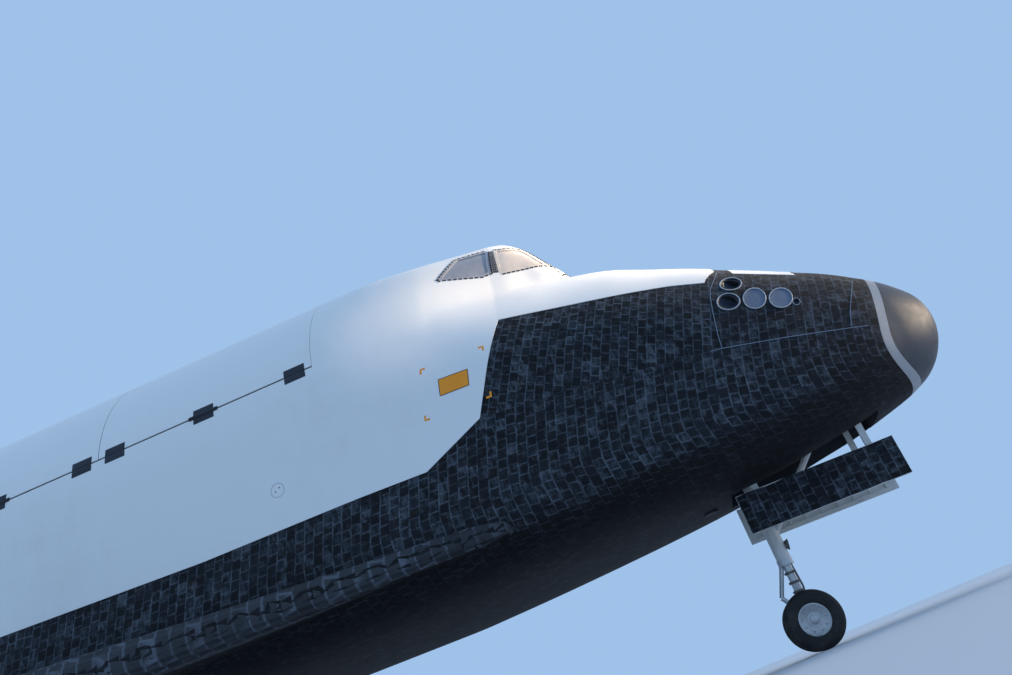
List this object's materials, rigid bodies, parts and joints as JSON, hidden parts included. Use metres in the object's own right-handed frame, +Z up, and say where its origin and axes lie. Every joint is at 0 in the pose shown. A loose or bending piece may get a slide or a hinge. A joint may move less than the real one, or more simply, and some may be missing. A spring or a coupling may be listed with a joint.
{
  "type": "space shuttle orbiter",
  "caption": "Delta-winged space shuttle orbiter parked on its gear, with opening payload bay doors, crew hatch, elevons, split rudder, body flap, steering nose wheels and rolling wheels.",
  "frame": {"origin": "centre of the bounding box on the floor the wheels stand on", "axes": "+X towards the nose, +Y to port, +Z up"},
  "size_m": [36.7946, 23.792, 17.2836],
  "materials": {
    "white_tile": "matt white tiles and quilts",
    "black_tile": "matt black tiles with worn grey edges",
    "nose_cap_silver": "dull silver",
    "nose_band": "satin grey",
    "edge_grey": "satin grey",
    "window_pane": "opaque satin pane",
    "engine_bell": "satin metal",
    "spine_grey": "satin grey",
    "gear_steel": "gloss pale grey",
    "wheel_aluminium": "satin",
    "tyre_rubber": "matt"
  },
  "bodies": {
    "airframe": {"aft_fuselage": "white_tile", "base_heat_shield": "black_tile", "centre_windshield_port": "window_pane", "centre_windshield_starboard": "window_pane", "fin": "white_tile", "forward_fuselage": "white_tile", "forward_thruster_module": "black_tile", "main_engine_port": "engine_bell", "main_engine_starboard": "engine_bell", "main_engine_top": "engine_bell", "main_gear_door_port": "white_tile", "main_gear_door_starboard": "white_tile", "main_gear_leg_port": "gear_steel", "main_gear_leg_starboard": "gear_steel", "mid_fuselage": "white_tile", "nose_cap": "nose_cap_silver", "nose_cap_band": "nose_band", "nose_gear_door_port": "white_tile", "nose_gear_door_starboard": "white_tile", "nose_gear_leg": "gear_steel", "overhead_window_port": "window_pane", "overhead_window_starboard": "window_pane", "pod_engine_port": "engine_bell", "pod_engine_starboard": "engine_bell", "pod_port": "white_tile", "pod_starboard": "white_tile", "quarter_windshield_port": "window_pane", "quarter_windshield_starboard": "window_pane", "side_window_port": "window_pane", "side_window_starboard": "window_pane", "wing_edge_port": "edge_grey", "wing_edge_starboard": "edge_grey", "wing_port": "white_tile", "wing_starboard": "white_tile"},
    "bay_door_port": {"bay_door_port": "white_tile"},
    "bay_door_starboard": {"bay_door_starboard": "white_tile"},
    "crew_hatch": {"crew_hatch": "white_tile"},
    "rudder": {"rudder_hinge_spine": "spine_grey"},
    "rudder_panel_port": {"rudder_panel_port": "white_tile"},
    "rudder_panel_starboard": {"rudder_panel_starboard": "white_tile"},
    "body_flap": {"body_flap": "black_tile"},
    "elevon_inner_port": {"elevon_inner_port": "white_tile"},
    "elevon_inner_starboard": {"elevon_inner_starboard": "white_tile"},
    "elevon_outer_port": {"elevon_outer_port": "white_tile"},
    "elevon_outer_starboard": {"elevon_outer_starboard": "white_tile"},
    "nose_gear_fork": {"nose_gear_fork": "gear_steel"},
    "nose_wheels": {"nose_wheels": "wheel_aluminium", "nose_tyre_port": "tyre_rubber", "nose_tyre_starboard": "tyre_rubber"},
    "main_wheels_port": {"main_wheels_port": "wheel_aluminium", "main_tyre_inner_port": "tyre_rubber", "main_tyre_outer_port": "tyre_rubber"},
    "main_wheels_starboard": {"main_wheels_starboard": "wheel_aluminium", "main_tyre_inner_starboard": "tyre_rubber", "main_tyre_outer_starboard": "tyre_rubber"}
  },
  "joints": [
    {"name": "bay_door_port_hinge", "type": "hinge", "parent": "airframe", "child": "bay_door_port", "pos_m": [9.70015, 2.60707, 6.10947], "axis": [-0.9993, 0, 0.0366], "range_deg": [0, 175.5]},
    {"name": "bay_door_starboard_hinge", "type": "hinge", "parent": "airframe", "child": "bay_door_starboard", "pos_m": [9.70015, -2.60707, 6.10947], "axis": [0.9993, 0, -0.0366], "range_deg": [0, 175.5]},
    {"name": "crew_hatch_hinge", "type": "hinge", "parent": "airframe", "child": "crew_hatch", "pos_m": [11.70735, 2.5213, 3.82639], "axis": [-0.9935, 0.1082, 0.0364], "range_deg": [0, 90]},
    {"name": "rudder_turn", "type": "hinge", "parent": "airframe", "child": "rudder", "pos_m": [-13.28481, 0, 11.01602], "axis": [-0.5415, 0, 0.8407], "range_deg": [-27, 27]},
    {"name": "speed_brake_port", "type": "hinge", "parent": "rudder", "child": "rudder_panel_port", "pos_m": [-13.28481, 0, 11.01602], "axis": [0.5415, 0, -0.8407], "range_deg": [0, 49.3]},
    {"name": "speed_brake_starboard", "type": "hinge", "parent": "rudder", "child": "rudder_panel_starboard", "pos_m": [-13.28481, 0, 11.01602], "axis": [-0.5415, 0, 0.8407], "range_deg": [0, 49.3]},
    {"name": "body_flap_hinge", "type": "hinge", "parent": "airframe", "child": "body_flap", "pos_m": [-14.54989, 0, 3.49633], "axis": [0, 1, 0], "range_deg": [-22.5, 11.7]},
    {"name": "elevon_inner_port_hinge", "type": "hinge", "parent": "airframe", "child": "elevon_inner_port", "pos_m": [-10.85748, 3.1, 3.46731], "axis": [0.0023, 0.998, 0.0628], "range_deg": [-25, 40]},
    {"name": "elevon_outer_port_hinge", "type": "hinge", "parent": "airframe", "child": "elevon_outer_port", "pos_m": [-10.84612, 8.02, 3.77706], "axis": [0.0023, 0.998, 0.0628], "range_deg": [-25, 40]},
    {"name": "elevon_inner_starboard_hinge", "type": "hinge", "parent": "airframe", "child": "elevon_inner_starboard", "pos_m": [-10.85748, -3.1, 3.46731], "axis": [-0.0023, 0.998, -0.0628], "range_deg": [-25, 40]},
    {"name": "elevon_outer_starboard_hinge", "type": "hinge", "parent": "airframe", "child": "elevon_outer_starboard", "pos_m": [-10.84612, -8.02, 3.77706], "axis": [-0.0023, 0.998, -0.0628], "range_deg": [-25, 40]},
    {"name": "nose_steering", "type": "hinge", "parent": "airframe", "child": "nose_gear_fork", "pos_m": [14.70138, 0, 0.40253], "axis": [0.0366, 0, 0.9993], "range_deg": [-9, 9]},
    {"name": "nose_wheels_roll", "type": "hinge", "parent": "nose_gear_fork", "child": "nose_wheels", "pos_m": [14.70138, 0, 0.40253], "axis": [0, 1, 0], "continuous": true},
    {"name": "main_wheels_port_roll", "type": "hinge", "parent": "airframe", "child": "main_wheels_port", "pos_m": [-5.49941, 3.454, 0.56017], "axis": [0, 1, 0], "continuous": true},
    {"name": "main_wheels_starboard_roll", "type": "hinge", "parent": "airframe", "child": "main_wheels_starboard", "pos_m": [-5.49941, -3.454, 0.56017], "axis": [0, 1, 0], "continuous": true}
  ],
  "couplings": [
    {"joint": "speed_brake_starboard", "follows": "speed_brake_port", "ratio": 1}
  ]
}
